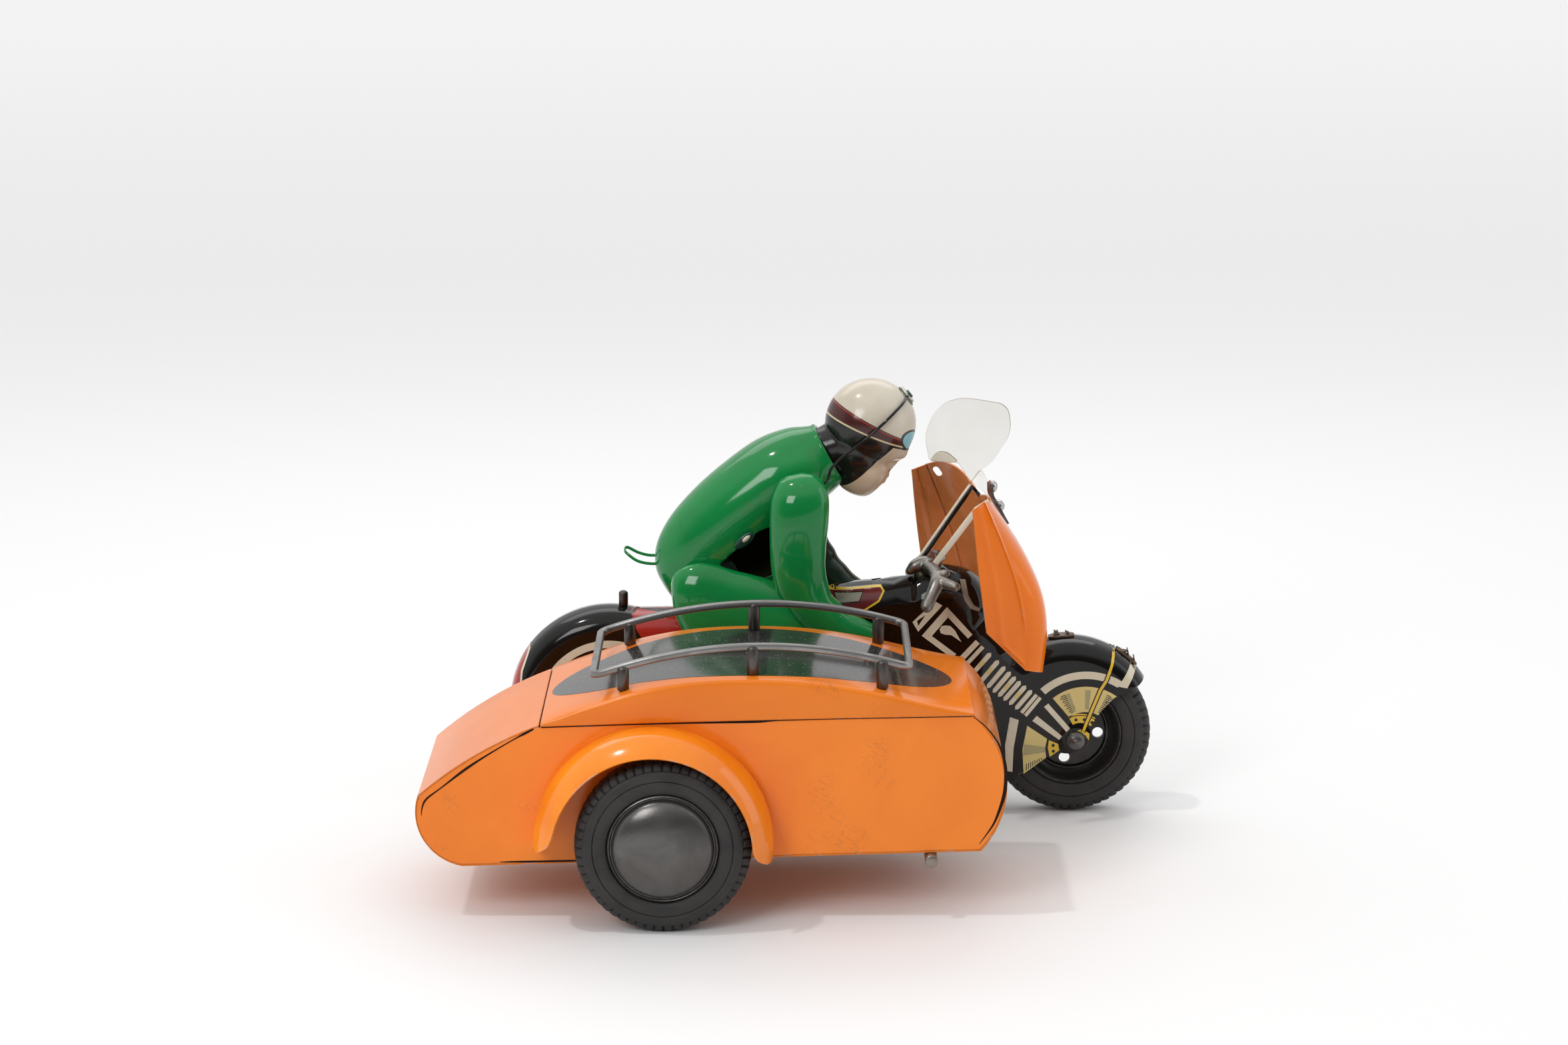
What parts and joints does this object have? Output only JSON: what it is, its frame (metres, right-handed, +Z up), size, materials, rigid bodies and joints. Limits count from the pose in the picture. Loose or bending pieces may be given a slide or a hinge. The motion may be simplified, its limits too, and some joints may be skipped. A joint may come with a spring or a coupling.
{
  "type": "tinplate toy motorcycle with sidecar",
  "caption": "Vintage tinplate toy motorcycle with a crouching tin rider and a box sidecar under an arched, railed lid, rolling on rubber-tyred wheels.",
  "frame": {"origin": "middle of the toy's outline on the floor it stands on", "axes": "+X forward, +Y to the rider's left, +Z up; the sidecar is on the right, at -Y"},
  "size_m": [0.2396, 0.1716, 0.1498],
  "materials": {
    "tyre": "matte moulded rubber",
    "dark_steel": "satin black stoved steel",
    "black_tin": "gloss black printed tin",
    "orange_tin": "gloss orange enamelled tin",
    "bare_steel": "dull plated steel",
    "cast_grey": "tumbled grey casting",
    "cream_tin": "cream printed tin",
    "clear_sheet": "clear yellowed sheet",
    "green_tin": "gloss green lithographed tin",
    "head_tin": "gloss cream and black lithographed tin"
  },
  "bodies": {
    "outfit": {"front_axle": "bare_steel", "rear_axle": "bare_steel", "side_axle": "bare_steel", "body_half_near": "black_tin", "body_half_far": "black_tin", "motor_block": "bare_steel", "tail_post": "dark_steel", "side_panel_near": "orange_tin", "side_panel_far": "orange_tin", "wrap_strip": "orange_tin", "side_fender": "orange_tin", "front_rod": "bare_steel", "rear_rod": "bare_steel", "handlebar": "cast_grey", "leg_shield": "orange_tin", "stays": "cream_tin", "screen": "clear_sheet", "rider_torso": "green_tin", "rider_head": "head_tin", "rider_arm_near": "green_tin", "rider_arm_far": "green_tin", "rider_leg_near": "green_tin", "rider_leg_far": "green_tin"},
    "front_wheel": {"front_tyre": "tyre", "front_disc": "dark_steel"},
    "rear_wheel": {"rear_tyre": "tyre", "rear_disc": "dark_steel"},
    "side_wheel": {"side_tyre": "tyre", "side_hub": "dark_steel"},
    "lid": {"lid": "orange_tin", "rack_rail": "dark_steel", "rack_posts": "dark_steel"}
  },
  "joints": [
    {"name": "front_wheel_roll", "type": "hinge", "parent": "outfit", "child": "front_wheel", "pos_m": [0.0923, 0.05, 0.0275], "axis": [0, 1, 0], "continuous": true},
    {"name": "rear_wheel_roll", "type": "hinge", "parent": "outfit", "child": "rear_wheel", "pos_m": [-0.0672, 0.05, 0.0275], "axis": [0, 1, 0], "continuous": true},
    {"name": "side_wheel_roll", "type": "hinge", "parent": "outfit", "child": "side_wheel", "pos_m": [-0.0425, -0.0749, 0.0275], "axis": [0, 1, 0], "continuous": true},
    {"name": "lid_hinge", "type": "hinge", "parent": "outfit", "child": "lid", "pos_m": [-0.0805, -0.03285, 0.06315], "axis": [0, -1, 0], "range_deg": [0, 75]}
  ]
}
